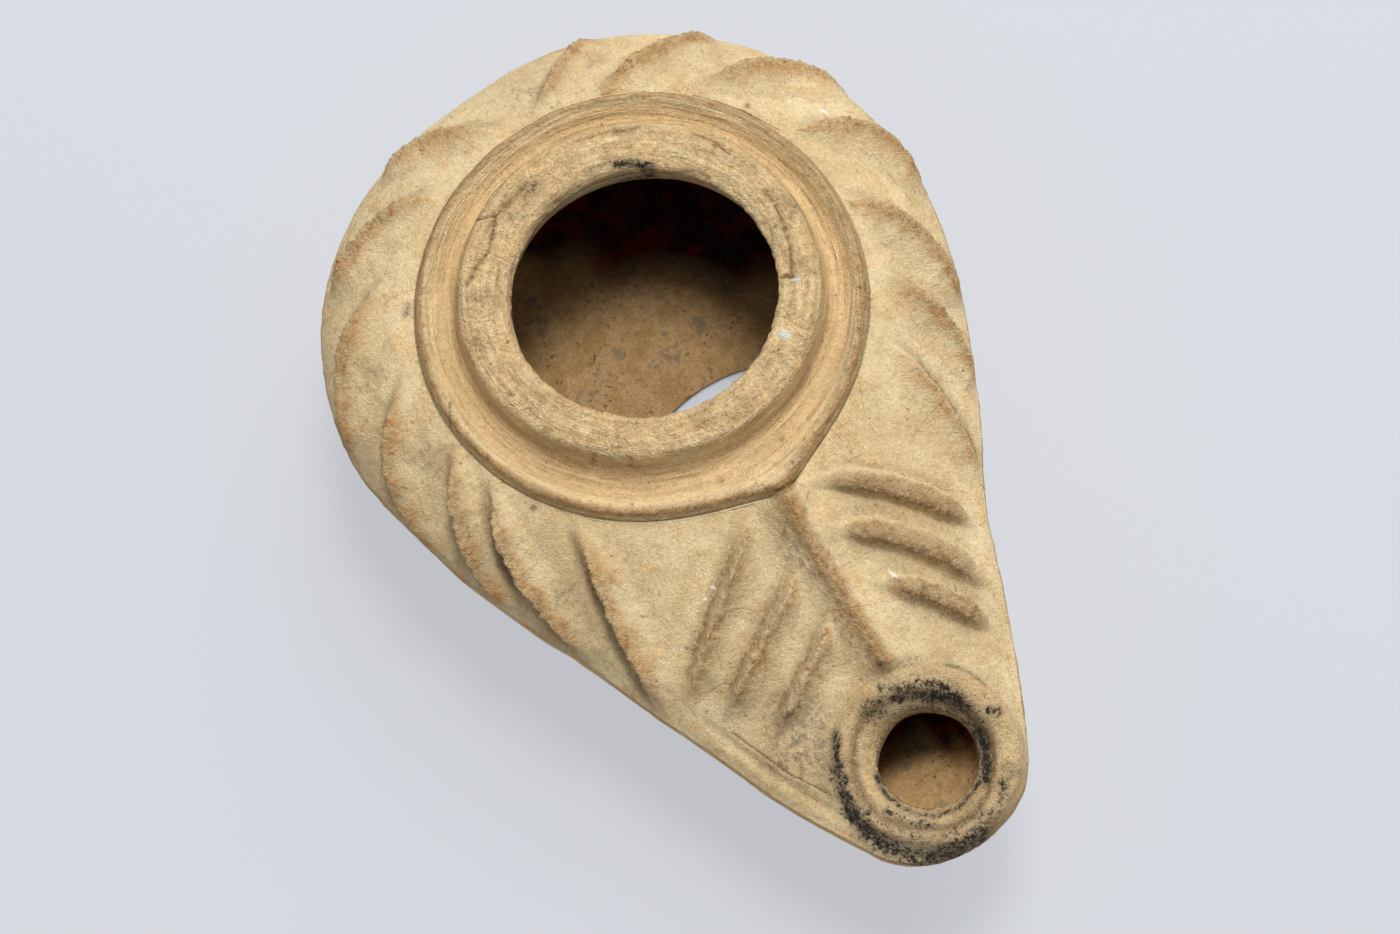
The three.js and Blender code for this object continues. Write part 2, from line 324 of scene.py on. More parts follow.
# Sections with their rows of faces
SECTIONS = (
    (underside, 3), (foot_ring, 7), (belly, 15), (joint, 3), (shoulder, 70), (collar, COLLAR_ROWS),
    (neck, 5), (vault, 8), (bowl, 8), (chamber_floor, 4),
)
STARTS = np.cumsum([0] + [rows for _, rows in SECTIONS])
SHOULDER_ROWS = (STARTS[4], STARTS[5])
NECK_ROW = STARTS[6]

# The rings and the hole aren't quite round one centre: each row's shift from the hole's axis
SHIFT_ROWS = (
    SHOULDER_ROWS[1] - 30, SHOULDER_ROWS[1], collar_row(8), collar_row(13), collar_row(16),
    NECK_ROW, NECK_ROW + 5, NECK_ROW + 13,
)
SHIFT_X = (0, -0.42, -0.42, -0.1, -0.1, 0.28, 0.28, 0)
SHIFT_Y = (0, -0.95, -0.95, -0.34, -0.34, -1.15, -1.15, 0)


def drawn_out(angle, row):
    """Places of the turned form's points once each level is drawn out to its plan."""
    radius, height = np.zeros(len(angle)), np.zeros(len(angle))
    section = np.clip(np.searchsorted(STARTS, row, side="right") - 1, 0, len(SECTIONS) - 1)
    for index, (level, rows) in enumerate(SECTIONS):
        chosen = section == index
        along = (row[chosen] - STARTS[index]) / rows
        radius[chosen], height[chosen] = level(angle[chosen], along)
    places = leaning(radius, angle, height)
    places[:, 0] += np.interp(row, SHIFT_ROWS, SHIFT_X)
    places[:, 1] += np.interp(row, SHIFT_ROWS, SHIFT_Y)
    return places


# Relief


def shoulder_height(x, y):
    """Height of the plain shoulder over a place of the plan."""
    angle, radius = plan_angle(x, y)
    inner, outer, power = shoulder_edges(angle)
    share = np.clip((radius - inner) / (outer - inner), 0, 1)
    rise = (1 - share ** power) ** (1 / power)
    return SHOULDER_LOW + (SHOULDER_HEIGHT - SHOULDER_LOW) * rise


# Ribs of the whirl, each from the ring outwards through its middle to its end, with the steep
# side's direction, height, width of the gentle side, and how much it is worn
WHIRL_RIBS = (
    ((0.6, 22.2), (4.1, 25.8), (9.6, 29.3), 1, 0.9, 3.0, 0.7),
    ((6.9, 20.6), (12.9, 22.9), (20.4, 22.4), 1, 1.2, 3.8, 0.8),
    ((15.4, 16.1), (21.9, 16.2), (29.9, 11.4), 1, 1.35, 4.2, 0.9),
    ((22.3, 7.4), (28.1, 4.9), (31.1, -1.6), 1, 1.4, 4.2, 1.0),
    ((22.4, -1.8), (26.5, -6), (28.4, -14.4), 1, 1.4, 4.0, 1.0),
    ((21.5, -10.4), (24.3, -14.8), (25.5, -23.8), 1, 1.3, 3.8, 0.9),
    ((18.2, -16.8), (20.4, -22.2), (20.6, -31.2), 1, 0.7, 3.4, 0.5),
    ((-4, 22.8), (-9, 26), (-15.5, 26.4), -1, 1.15, 3.0, 0.8),
    ((-12.8, 19.4), (-17.8, 20.7), (-25.8, 18), -1, 1.3, 3.8, 1.0),
    ((-21.4, 14.3), (-27.6, 10.7), (-32.4, 1.3), -1, 1.35, 4.6, 1.0),
    ((-24, 3.8), (-29.6, -3), (-28.9, -14), -1, 1.5, 4.0, 0.9),
    ((-23, -4.8), (-26.2, -11.6), (-26.3, -20.6), -1, 1.75, 3.6, 1.0),
    ((-21.2, -9.8), (-23.5, -16.4), (-21.9, -28), -1, 1.9, 3.4, 0.9),
    ((-16.4, -17.6), (-17.6, -24), (-18, -36), -1, 1.75, 3.8, 0.8),
)
NOZZLE_RIBS = (
    ((4.3, -25.6), (10.6, -28.6), (16.7, -35), 0, 1.1, 1.25, 0.65),
    ((3.3, -30.6), (9.6, -33.8), (15, -40.6), 0, 1.15, 1.4, 0.65),
    ((5.4, -37), (9.2, -39.6), (13.1, -44.7), 0, 1.1, 1.25, 0.65),
    ((-1.7, -25.9), (-8, -31), (-15, -36.8), -1, 1.3, 2.8, 1.0),
    ((0.1, -32.3), (-6, -36), (-12.6, -40.2), -1, 1.25, 2.7, 1.0),
    ((0.4, -37.7), (-4, -40.8), (-9.1, -43.9), -1, 1.2, 2.4, 1.0),
)
RIB_REACH = 8.0
RIB_RISE = 1.2
STEEP_WIDTH = 0.75
RIDGE = ((2.2, -24.4), (2.0, -34), (2.6, -46))


def stroke(points, path, steps=28):
    """How far points lie along a curved stroke on the shoulder, and how far to its left."""
    start, middle, end = (np.array(place, float) for place in path)
    share = np.linspace(0, 1, steps + 1)[:, None]
    bend = 2 * middle - (start + end) / 2
    plan = (1 - share) ** 2 * start + 2 * share * (1 - share) * bend + share ** 2 * end
    line = np.column_stack([plan, shoulder_height(plan[:, 0], plan[:, 1])])
    legs = line[1:] - line[:-1]
    lengths = np.linalg.norm(legs, axis=1)
    passed = np.concatenate([[0], np.cumsum(lengths)])
    best = np.full(len(points), np.inf)
    along, aside = np.zeros(len(points)), np.zeros(len(points))
    for index, leg in enumerate(legs):
        offset = points - line[index]
        part = offset @ leg / lengths[index] ** 2
        part = np.clip(part, -2 if index == 0 else 0, 3 if index == steps - 1 else 1)
        away = offset - part[:, None] * leg
        distance = np.linalg.norm(away, axis=1)
        side = np.sign(leg[0] * away[:, 1] - leg[1] * away[:, 0])
        nearer = distance < best
        best = np.where(nearer, distance, best)
        along = np.where(nearer, (passed[index] + part * lengths[index]) / passed[-1], along)
        aside = np.where(nearer, distance * side, aside)
    return along, aside


def leaf(outward, swell, gentle, two_sided):
    """Profile across a rib that lies like a leaf: a steep outer side, and a gentle inner one."""
    if two_sided:
        half = gentle * (0.3 + 0.7 * swell)
        edge = 1 - smooth(np.abs(outward), half - 0.4, half + 0.25)
        return edge * (0.85 + 0.15 * smooth(outward, -half, half))
    inward = np.clip(-outward / (gentle * (0.25 + 0.75 * swell)), 0, 1)
    slope = 0.65 * (1 - smooth(inward, 0, 1)) + 0.35 * (1 - inward) ** 1.4
    return np.where(outward > 0, 1 - smooth(outward, -0.25, STEEP_WIDTH), slope)


def rib_relief(points, ribs, lumps):
    """Height, wear, dirt with painted shade, and painted highlight of ribs. Where two cross, the
    stronger counts.
    """
    height, wear, dirt, pale = (np.zeros(len(points)) for _ in range(4))
    for start, middle, end, steep_side, peak, gentle, worn_share in ribs:
        corners = np.array([start, middle, end])
        near = np.all((points[:, :2] > corners.min(axis=0) - RIB_REACH)
                      & (points[:, :2] < corners.max(axis=0) + RIB_REACH), axis=1)
        along, aside = stroke(points[near], (start, middle, end))
        outward = aside * (steep_side or 1) + lumps[near] * 0.2
        swell = smooth(along, -0.08, 0.34) * (1 - smooth(along, 0.82, 1.12))
        two_sided = steep_side == 0
        foot = gentle * (0.3 + 0.7 * swell) if two_sided else STEEP_WIDTH
        crest = foot - 0.35 if two_sided else -0.2
        profile = leaf(outward, swell, gentle, two_sided)
        valley = bump(outward, foot + 0.35, 0.45)
        edge = bump(outward, crest, 0.4)
        raised = RIB_RISE * peak * swell * (profile - 0.24 * valley + 0.1 * edge)
        height[near] = np.where(np.abs(raised) > np.abs(height[near]), raised, height[near])
        if two_sided:
            # Painted shade along the lower flank of the two-sided ribs and at the foot of the
            # others' steep side; the two-sided ribs' worn colour is stronger towards the lower side
            rubbed = 1 - 0.75 * smooth(outward, -0.2, foot)
            dust_and_shade = 0.9 * bump(outward, -0.7 * foot, 0.55)
        else:
            inner = 0.5 + 0.5 * bump(outward, -0.3, 1.2)
            rubbed = np.where(outward > 0, bump(outward, 0, 0.7), inner)
            dust_and_shade = bump(outward, foot + 0.05, 0.4)
        wear[near] = np.maximum(wear[near], worn_share * swell * rubbed * profile)
        dirt[near] = np.maximum(dirt[near], swell * dust_and_shade)
        # Painted highlight: a pale band along the crest
        pale[near] = np.maximum(pale[near], swell * bump(outward, crest + 0.15, 0.32))
    return height, wear, dirt, pale


def ridge_relief(points):
    """Height and wear of the nozzle's ridge: steep on its left, and gentle on its right."""
    along, aside = stroke(points, RIDGE)
    swell = smooth(along, -0.1, 0.1) * (1 - smooth(along, 0.93, 1.12))
    left = 2.2 * np.exp(-np.abs(aside) / 1.3) - 0.3 * bump(aside, -3.6, 1.4)
    right = 2.2 * np.exp(-np.abs(aside) / 2.2)
    height = swell * np.where(aside < 0, left, right) * (1 - 0.2 * bump(aside, 0, 0.3))
    return height, swell * (bump(aside, 0.1, 0.75) + 0.35 * bump(aside, -1.2, 1.2))


def plan_distance(points, x, y):
    """Distance over the plan from points to a place."""
    return np.hypot(points[:, 0] - x, points[:, 1] - y)


def path_distance(points, path):
    """Distance over the plan from points to a bent line."""
    best = np.full(len(points), np.inf)
    corners = np.array(path, float)
    for start, end in zip(corners[:-1], corners[1:]):
        leg = end - start
        offset = points[:, :2] - start
        part = np.clip(offset @ leg / (leg @ leg), 0, 1)
        best = np.minimum(best, np.hypot(*(offset - part[:, None] * leg).T))
    return best


# Cracks in the clay: width, depth, and places on the plan
CRACKS = (
    (0.14, 0.4, ((-4.4, 15.1), (-6.5, 14.2), (-8.6, 13.5), (-9.6, 12.2), (-11, 10.6), (-12.4, 10),
                 (-14.5, 8.6))),
    (0.12, 0.2, ((-8.6, 13.5), (-10.4, 14.3))),
    (0.16, 0.3, ((15.7, 2.2), (15.8, 0.3), (15.4, -2.4), (14.9, -4.2), (13.6, -6.8))),
    (0.2, 0.45, ((13.9, -7.4), (13, -6.7), (12.2, -6.6))),
    (0.14, 0.25, ((16.9, 5.2), (16.4, 7.6), (15.2, 9.4), (14.5, 11.4))),
    (0.12, 0.2, ((14.6, 7.4), (13.9, 9.6), (12.6, 11.2))),
    (0.12, 0.2, ((8.2, 14.6), (5.4, 15.8), (2.2, 16.4))),
    (0.12, 0.18, ((-21.4, -0.9), (-22, -1.8), (-22.7, -2.7))),
    (0.12, 0.14, ((-13.4, -42.2), (-10.6, -48.4), (-8.2, -52.1))),
)
# Pits: place on the plan, radius, depth
PITS = (
    (-17, 2.6, 0.3, 0.25), (-17, 1.1, 0.28, 0.2), (-16.3, -3.8, 0.3, 0.3),
    (-14.8, -8.9, 0.35, 0.25), (7.2, -37.6, 0.4, 0.6), (-14.6, 6.8, 0.28, 0.3),
    (-12.2, -13.4, 0.3, 0.2), (-9.2, -15.6, 0.3, 0.2), (15.6, -7.8, 0.3, 0.2),
    (16.8, -3.6, 0.25, 0.2), (-3.6, -42.2, 0.25, 0.15), (19.2, 12.4, 0.3, 0.15),
    (-19.6, -14.2, 0.35, 0.25), (4.6, -20.2, 0.3, 0.2), (-2.4, -21.2, 0.3, 0.2),
)
# Spots of lime in the clay: place on the plan, radius, height
LIME_SPOTS = (
    (13.8, -7.6, 0.5, 0.15), (9.9, -12.1, 0.62, 0.2), (-9.5, -30.3, 0.22, 0.05),
    (-8.3, -29.7, 0.2, 0.05), (7.6, -37, 0.3, 0.05), (25.8, 8.6, 0.3, 0.02),
)
# Clay crumbs that stand on the surface: place on the plan, radius, height
CRUMBS = (
    (14.9, 24, 0.9, 0.4), (-21.1, -27.6, 0.7, 0.35), (-20.4, -28.3, 0.6, 0.3),
    (-23.4, 8.6, 0.4, 0.2), (-24.6, -12.4, 0.4, 0.2), (-17.2, -36.2, 0.4, 0.2),
    (-4.7, -37.7, 0.35, 0.15), (9.2, -13, 0.5, 0.2), (-13.4, -14.6, 0.5, 0.2),
    (2.8, -21.8, 0.45, 0.2),
)
# The filling hole's chipped edge: the hole's middle, and degrees from +X towards +Y
HOLE_MIDDLE = (0.18, -1.15)
CHIP_START, CHIP_END = -8.0, 42.0

# Grey-brown grime and painted shade on the clay: place on the plan, radius, strength
GRIME_AND_SHADE = (
    (-9.5, -48, 3.4, 0.6), (-6.5, -45, 3, 0.45), (-9.6, -41, 4, 0.3), (16.4, -51, 2.6, 0.3),
    (14.6, -42, 2.6, 0.25), (4.5, -33, 2, 0.35), (8, -41.4, 2.2, 0.25), (-23.8, -15.6, 2, 0.45),
    (-20.3, -22.8, 2, 0.45), (-22.9, -21.6, 2, 0.3), (-27, 7, 2.4, 0.35), (16.5, -46, 3.6, 0.35),
    (8.6, -55.5, 2.6, 0.35), (4, 27, 8, 0.3), (18, 21, 6, 0.26), (0.4, -30, 1.8, 0.4),
    (-3.2, -33.8, 1.6, 0.35), (-26, -3.5, 2.2, 0.4), (0, 26, 3, 0.25), (-14, 24, 2.4, 0.3),
    (-10, -22.5, 2.4, 0.3),
)


def grime_and_shade_spots(points):
    return sum(strength * bump(plan_distance(points, x, y), 0, radius)
               for x, y, radius, strength in GRIME_AND_SHADE)


def chipped_edge(points, lumps):
    """The part of the filling hole's edge that is chipped, 1 where the most is gone."""
    x, y = points[:, 0] - HOLE_MIDDLE[0], points[:, 1] - HOLE_MIDDLE[1]
    bearing = np.degrees(np.arctan2(y, x))
    starts = smooth(bearing, CHIP_START - 6, CHIP_START + 4)
    ends = smooth(bearing, CHIP_END - 4, CHIP_END + 6)
    past_edge = smooth(np.hypot(x, y) + 0.5 * lumps, HOLE_RADIUS + 0.5, HOLE_RADIUS + 1.1)
    return starts * (1 - ends) * (1 - past_edge)


def small_marks(points, lumps):
    """Height of the cracks, pits, lime spots, crumbs and the chipped edge, dirt and painted shade
    in the cracks and pits, and paleness of the lime spots and the chipped edge.
    """
    height, dirt, lime = (np.zeros(len(points)) for _ in range(3))
    for width, depth, path in CRACKS:
        groove = bump(path_distance(points, path) + 0.08 * lumps, 0, width)
        height -= depth * groove
        dirt = np.maximum(dirt, groove)
    for x, y, radius, depth in PITS:
        pit = bump(plan_distance(points, x, y) + 0.1 * lumps, 0, radius)
        height -= depth * pit
        dirt = np.maximum(dirt, pit)
    for x, y, radius, rise in LIME_SPOTS:
        away = plan_distance(points, x, y) + 0.04 * lumps
        spot = 1 - smooth(away, 0.75 * radius, 1.15 * radius)
        height += rise * spot
        lime = np.maximum(lime, spot)
    for x, y, radius, rise in CRUMBS:
        height += rise * bump(plan_distance(points, x, y), 0, radius)
    chipped = chipped_edge(points, lumps)
    height -= 0.3 * chipped * (1 + lumps)
    return height, dirt, np.maximum(lime, 0.1 * chipped)


def wick_place(points):
    """Distance from the wick hole's axis, its bearing from +X, and the tilted rim's height."""
    x = points[:, 0] - WICK_AXIS[0]
    y = points[:, 1] - WICK_AXIS[1]
    height = WICK_RIM_HEIGHT + y * np.tan(radians(WICK_TILT))
    return np.hypot(x, y), np.degrees(np.arctan2(y, x)), height


def wick_rim(points):
    """Height that the wick hole's rim reaches, how far it stands for the shoulder, and its dirt
    with painted shade in the dish's step and beside the hole.
    """
    away, bearing, top = wick_place(points)
    turn = np.radians(bearing)
    away = away + 0.14 * np.sin(2 * turn + 0.7) + 0.08 * np.sin(5 * turn)
    dish = DISH_RADIUS - DISH_SHIFT * np.cos(turn - 0.35)
    bottom = -0.75 - 0.55 * (1 - smooth(away, WICK_HOLE_RADIUS - 0.4, dish))
    step = 0.65 * smooth(away, dish - 0.32, dish + 0.12)
    crown = -0.13 + 0.13 * smooth(away, dish, dish + 0.8)
    depth = np.where(away < dish, bottom + step, crown)
    depth -= 1.3 * smooth(away, WICK_RIM_RADIUS - 0.6, WICK_RIM_RADIUS + 0.45)
    depth -= 2.2 * (1 - smooth(away, WICK_HOLE_RADIUS - 0.8, WICK_HOLE_RADIUS + 0.25))
    scoop = smooth(bearing, -45, -10) * (1 - smooth(bearing, 50, 75))
    depth -= scoop * bump(away, WICK_HOLE_RADIUS + 0.5, 0.95)
    # To the left of the ridge, the rim runs out into the shoulder
    run_out = smooth(bearing, 85, 120) * (1 - smooth(bearing, 165, 178))
    inner = WICK_RIM_RADIUS - 0.3 - 0.9 * run_out
    outer = WICK_RIM_RADIUS + 0.55 + 1.9 * run_out
    dirt = 0.9 * bump(away, dish - 0.2, 0.5) + 0.6 * bump(away, WICK_HOLE_RADIUS + 0.5, 0.7)
    return top + depth, 1 - smooth(away, inner, outer), dirt


def edge_bead(points):
    """A thick bead of clay along the nozzle's left edge, with a scraped groove inside it."""
    angle, radius = plan_angle(points[:, 0], points[:, 1])
    degrees = signed_degrees(angle)
    inward = body_plan(angle) - radius
    reach = smooth(degrees, -26, -19) * (1 - smooth(degrees, -9, -5))
    return reach * (0.28 * bump(inward, 1.0, 0.7) - 0.3 * bump(inward, 2.6, 0.5))


def rolled_form(columns, rows):
    """A sheet rolled into a tube and gathered at both ends. Each point's height counts its row."""
    form = bmesh.new()
    bmesh.ops.create_grid(form, x_segments=columns, y_segments=rows, size=1)
    for vertex in form.verts:
        turn, row = vertex.co.x * pi, round((vertex.co.y + 1) / 2 * rows, 3)
        open_end = 0 if row in (0, rows) else 1
        vertex.co = (open_end * sin(turn), -open_end * cos(turn), row)
    bmesh.ops.remove_doubles(form, verts=form.verts, dist=0.0001)
    bmesh.ops.recalc_face_normals(form, faces=form.faces)
    return form


def turned_places(form):
    """The plan angle and row of each point of the rolled form."""
    points = np.array([vertex.co for vertex in form.verts])
    turn = np.arctan2(points[:, 0], -points[:, 1])
    return turn - CROWDING * np.sin(turn), points[:, 2]


def refined(form):
    """More points round the wick hole and along the nozzle's ribs, and the most along cracks."""
    angle, row = turned_places(form)
    places = drawn_out(angle, row)
    upper = (row > SHOULDER_ROWS[0]) & (row < NECK_ROW)

    def near(paths, reach):
        return upper & (np.min([path_distance(places, path) for path in paths], axis=0) < reach)

    by_cracks = near([path for _, _, path in CRACKS], 0.45)
    by_ribs = near([rib[:3] for rib in NOZZLE_RIBS] + [RIDGE], 1.9)
    round_wick = upper & (wick_place(places)[0] < WICK_RIM_RADIUS + 1.2)
    form.verts.index_update()
    chosen = [[edge for edge in form.edges if all(close[vertex.index] for vertex in edge.verts)]
              for close in ((round_wick | by_ribs) & ~by_cracks, by_cracks)]
    for edges, cuts in zip(chosen, (1, 2)):
        bmesh.ops.subdivide_edges(form, edges=edges, cuts=cuts, use_grid_fill=True)


def move_points(form, points):
    for vertex, point in zip(form.verts, points.tolist()):
        vertex.co = point
    form.normal_update()


def normals_of(form):
    return np.array([vertex.normal for vertex in form.verts])


MASKS = ("wear", "grime", "dirt", "pale", "lime", "grit", "warm", "inside")


def carve_shoulder(form, row):
    """Works the ribs, the ridge, the wick rim, the bead and the small marks into the form."""
    points = np.array([vertex.co for vertex in form.verts])
    chosen = np.flatnonzero((row > SHOULDER_ROWS[0] - 8) & (row < NECK_ROW + 2))
    place, level, normals = points[chosen], row[chosen], normals_of(form)[chosen]
    lumps = grain(place, 1.5, 3, 4.0)
    whirl, whirl_wear, whirl_dirt_and_shade, whirl_highlight = rib_relief(place, WHIRL_RIBS, lumps)
    marks, mark_wear, mark_dirt_and_shade, mark_highlight = rib_relief(place, NOZZLE_RIBS, lumps)
    ridge, ridge_wear = ridge_relief(place)
    small, small_dirt_and_shade, lime = small_marks(place, lumps)
    rim, stands, rim_dirt_and_shade = wick_rim(place)
    stands = stands * (level < SHOULDER_ROWS[1])
    rim = rim + 0.13 * lumps

    # The relief fades out at the joint and at the ring, and gives way to the wick rim
    fade = smooth(level, SHOULDER_ROWS[0] - 1, SHOULDER_ROWS[0] + 15)
    near_ring = smooth(level, SHOULDER_ROWS[1] - 5, SHOULDER_ROWS[1])
    fade *= 1 - near_ring * (1 - smooth(ridge, 0.1, 0.5))
    fade *= (level < SHOULDER_ROWS[1] + 1) * (1 - stands)
    upward = smooth(normals[:, 2], 0.1, 0.4)

    ring_crest = bump(level, collar_row(4.7), 2.6)
    wear = np.maximum.reduce([whirl_wear, mark_wear, ridge_wear]) * fade
    wear += 0.72 * ring_crest + 0.4 * bump(level, collar_row(2.5), 1.5)
    wear = np.maximum(wear, 0.45 * bump(level, STARTS[4] + 1, 3.5))
    lift = whirl + marks + ridge * (1 - smooth(np.abs(marks), 0.1, 0.6)) + edge_bead(place)
    lift = lift * fade + wear * lumps * 0.1 + small * upward
    # Near the joint the relief stands up rather than out, so that the outline stays even
    upright = 0.25 + 0.75 * smooth(level, SHOULDER_ROWS[0] + 2, SHOULDER_ROWS[0] + 34)
    place = place + normals * np.stack([upright, upright, 1 + 0 * upright], axis=1) * lift[:, None]
    stands_up = stands * smooth(level, SHOULDER_ROWS[0], SHOULDER_ROWS[0] + 3)
    place[:, 2] += (rim - place[:, 2]) * stands_up

    right_ribs = mark_wear * smooth(points[chosen, 0], 1, 4)
    ridge_foot = bump(ridge_wear, 0.35, 0.25)
    # Painted shade at the ring's outer foot and under the rim's outer wall
    groove_shade = 0.12 * bump(level, collar_row(2.3), 1.6) + 0.55 * bump(level, collar_row(11.8), 2.2)
    rim_top = smooth(level, collar_row(12.5), collar_row(14.5))
    rim_top *= 1 - smooth(level, NECK_ROW - 2, NECK_ROW)
    carved = {
        "wear": wear,
        # Grime and painted shade on the right-hand nozzle ribs, along the ridge's flanks and in the
        # listed spots
        "grime": np.maximum(0.75 * right_ribs, 0.4 * ridge_foot) * fade
        + grime_and_shade_spots(points[chosen]),
        # Dirt and painted shade at the ribs' feet, in the grooves, cracks and pits, and round the
        # wick's dish
        "dirt": np.maximum(np.maximum(whirl_dirt_and_shade, mark_dirt_and_shade) * fade, groove_shade)
        + small_dirt_and_shade * upward + rim_dirt_and_shade * stands,
        # Painted highlight along the ribs' crests and on the ring's crest
        "pale": np.maximum(0.6 * whirl_highlight, mark_highlight) * fade
        + 0.5 * bump(level, collar_row(6.2), 1.6),
        "lime": lime * upward,
        "grit": rim_top + 0.5 * ring_crest + 0.7 * stands,
        "warm": smooth(level, collar_row(1.5), collar_row(3.5)),
    }
    masks = {name: np.zeros(len(points)) for name in MASKS}
    for name, values in carved.items():
        masks[name][chosen] = values
    for name in ("grime", "dirt", "grit"):
        masks[name] = np.clip(masks[name], 0, 1)
    masks["inside"] = smooth(row, NECK_ROW + 3, NECK_ROW + 5.5)
    points[chosen] = place
    move_points(form, points)
    return masks


def age_surface(form, masks):
    """Waves of the hand-pressed mould and grains of temper."""
    points = np.array([vertex.co for vertex in form.verts])
    normals = normals_of(form)
    waves = grain(points, 11.0, 2, 7.0) * 0.14 + grain(points, 3.4, 2, 9.0) * 0.08
    rough = np.clip(masks["grit"] + masks["wear"], 0, 1)
    sand = grain(points, 1.0, 3, 13.0) * (0.03 + 0.13 * rough)
    standing = smooth(points[:, 2], 0.4, 2.5)
    moved = points + normals * ((waves * (1 - 0.5 * masks["inside"]) + sand) * standing)[:, None]
    low, high = (np.array(corner) * 1000 - HOLE_AXIS for corner in (lamp_low, lamp_high))
    move_points(form, np.clip(moved, low, high))


def new_object(name, data):
    made = bpy.data.objects.new(name, data)
    bpy.context.scene.collection.objects.link(made)
    return made


def mesh_object(form, name):
    mesh = bpy.data.meshes.new(name)
    form.to_mesh(mesh)
    form.free()
    return new_object(name, mesh)


def wick_cutter():
    """The tool that pierces the nozzle, with the slightly uneven outline of a hand-cut hole."""
    tool = bmesh.new()
    bmesh.ops.create_cone(tool, cap_ends=True, segments=96, radius1=1, radius2=1, depth=1)
    points = np.array([vertex.co for vertex in tool.verts])
    bearing = np.arctan2(points[:, 1], points[:, 0])
    radius = WICK_HOLE_RADIUS + 0.1 * np.sin(2 * bearing + 0.6) + 0.06 * np.sin(5 * bearing)
    x = WICK_AXIS[0] + radius * np.cos(bearing)
    y = WICK_AXIS[1] + radius * np.sin(bearing)
    height = np.where(points[:, 2] > 0, RIM_HEIGHT, JOINT_HEIGHT - 2.0)
    move_points(tool, np.column_stack([x, y, height]))
    return tool


def cut(piece, tool):
    """Cuts a tool out of a piece and deletes the tool."""
    modifier = piece.modifiers.new("cut", "BOOLEAN")
    modifier.operation = "DIFFERENCE"
    modifier.object = tool
    modifier.solver = "EXACT"
    bpy.context.view_layer.update()
    shaped = piece.evaluated_get(bpy.context.evaluated_depsgraph_get())
    mesh = bpy.data.meshes.new_from_object(shaped)
    piece.modifiers.clear()
    piece.data = mesh
    bpy.data.objects.remove(tool)


def threes(items, name):
    values = np.empty(3 * len(items))
    items.foreach_get(name, values)
    return values.reshape(-1, 3)


def softened(mesh, points, rounds):
    """The points after rounds of moving each half way to its neighbours' mean."""
    edges = np.empty(2 * len(mesh.edges), int)
    mesh.edges.foreach_get("vertices", edges)
    first, second = edges.reshape(-1, 2).T
    count = np.bincount(first, minlength=len(points)) + np.bincount(second, minlength=len(points))
    for _ in range(rounds):
        mean = np.stack([
            np.bincount(first, points[second, axis], len(points))
            + np.bincount(second, points[first, axis], len(points)) for axis in range(3)
        ], axis=1) / count[:, None]
        points = (points + mean) / 2
    return points


def paint(mesh, name, values):
    layer = mesh.attributes.new(name, "FLOAT", "POINT")
    layer.data.foreach_set("value", np.asarray(values, np.float32))


# Soot: density, width and places on the plan
SOOT = (
    (0.75, 0.6, ((-4.9, -47.7), (-6.1, -49.6), (-6.6, -52), (-7.2, -54))),
    (0.78, 0.8, ((-6.4, -50.8), (-6.9, -52.6), (-7.4, -54.5), (-7.1, -57.2))),
    (0.72, 1.05, ((-7.3, -56), (-6.6, -58.4), (-5.2, -60.3), (-2.8, -62.3), (0.2, -62.9),
                  (2.6, -62.5))),
    (0.6, 0.7, ((2.4, -62.6), (5, -61.4), (7.2, -59.4))),
    (0.75, 0.5, ((1, -45.9), (2.5, -47), (4.4, -47.4), (6, -48.6), (7.2, -50.6))),
    (0.85, 0.4, ((1.6, -47.4), (3.2, -48.2), (5, -48.7), (6.4, -50), (7.3, -51.8))),
    (0.55, 1.7, ((0.6, -47.2), (4, -48), (6.6, -50.4), (7.2, -54))),
    (0.85, 0.6, ((7, -53.6), (6.9, -55.4), (6.2, -57), (5.2, -58.4))),
    (0.7, 0.35, ((-3.6, -52.9), (-3.7, -54.6), (-3.2, -56.6), (-2.1, -58.2), (-0.4, -59.2),
                 (1.6, -59.5), (3.8, -58.8), (5.2, -57.6))),
    (0.6, 0.8, ((-4.4, -56.6), (-3.2, -58.6), (-1.4, -60))),
    (0.6, 0.3, ((7.6, -47), (8.6, -47.7), (9.4, -48.9), (9.9, -50.4))),
    (0.56, 2.0, ((-1, -47.4), (3, -47.8), (6.2, -50), (7.2, -53.6))),
    (0.5, 1.6, ((-6.6, -50.5), (-7, -54), (-5.6, -58.5), (-1.5, -61.6), (3, -61.2))),
    (0.8, 0.6, ((8.8, -53.0), (9.5, -53.5))),
    (0.55, 0.8, ((7.4, -58.6), (7.9, -59.3))),
    (0.65, 0.55, ((6.2, -59.6), (6.4, -60.2))),
    (0.6, 0.35, ((1.8, -44), (2.1, -44.4))),
    (0.5, 0.9, ((-4.6, 14), (-3.6, 14.6))),
    (0.42, 0.6, ((-7.3, 12.2), (-6.9, 12.5))),
    (0.72, 0.55, ((4.1, 12.5), (5.9, 11.6), (7.3, 10.4))),
    (0.45, 0.4, ((1.6, 13), (3.6, 12.8))),
    (0.55, 0.65, ((-20.8, 10.1), (-20.4, 10.6))),
    (0.45, 0.6, ((16.9, 0.8), (17.4, -1))),
    (0.35, 0.5, ((-17.6, -36), (-16.8, -35.4))),
)


def soot_density(points):
    """Soot round the wick hole and in a few spots on the rim."""
    return np.clip(np.maximum.reduce([
        density * bump(path_distance(points, path), 0, 1.2 * width) for density, width, path in SOOT
    ]), 0, 1)


